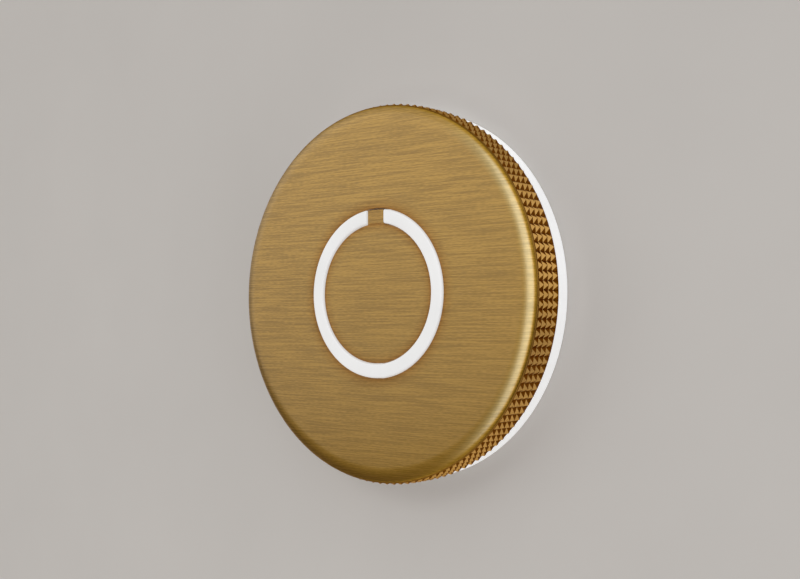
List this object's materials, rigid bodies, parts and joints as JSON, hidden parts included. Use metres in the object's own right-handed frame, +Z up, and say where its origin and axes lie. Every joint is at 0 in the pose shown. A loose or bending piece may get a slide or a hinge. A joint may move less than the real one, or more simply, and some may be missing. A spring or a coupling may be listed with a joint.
{
  "type": "touch doorbell button",
  "caption": "Round brass wall button with a cross-knurled rim, a lit C-shaped ring round a keyed press disc, and a lit opal base that glows against the wall.",
  "frame": {"origin": "centre of the base's back face, on the wall plane", "axes": "+Y into the wall, -Y out of the face towards the visitor, +Z up with the key tab at the top, +X to the right seen from the front"},
  "size_m": [0.068, 0.0103, 0.068],
  "materials": {
    "brushed_brass": "fine horizontal brushing",
    "opal_ring": "opal white, lit from behind",
    "opal_base": "opal white, lit from inside",
    "foam_rubber": "matt",
    "silicone": "matt",
    "screw_steel": "plain",
    "switch_steel": "plated",
    "board": "white solder mask",
    "led": "clear over phosphor",
    "white_plastic": "moulded",
    "black_plastic": "moulded",
    "lever_plastic": "moulded",
    "capacitor_plastic": "moulded"
  },
  "bodies": {
    "housing": {"cap": "brushed_brass", "light_ring": "opal_ring", "halo_base": "opal_base", "wall_gasket": "foam_rubber", "cap_seal": "silicone", "cap_grub_screw": "screw_steel", "circuit_board": "board", "board_screws": "screw_steel", "ring_leds": "led", "halo_leds": "led", "led_baffle": "white_plastic", "switch_body": "black_plastic", "switch_cover": "switch_steel", "disc_cushion": "silicone", "terminal_block": "white_plastic", "terminal_levers": "lever_plastic", "controller_chip": "black_plastic", "bridge_rectifier": "black_plastic", "smoothing_capacitor": "capacitor_plastic", "resistors": "black_plastic", "cable_grommet": "foam_rubber"},
    "press_disc": {"touch_disc": "brushed_brass", "switch_plunger": "black_plastic"}
  },
  "joints": [
    {"name": "disc_press", "type": "slide", "parent": "housing", "child": "press_disc", "axis": [0, 1, 0], "range_m": [0, 0.0003], "stiffness_N_per_m": 800, "springref_m": -0.002, "deforming": ["disc_cushion"]}
  ]
}
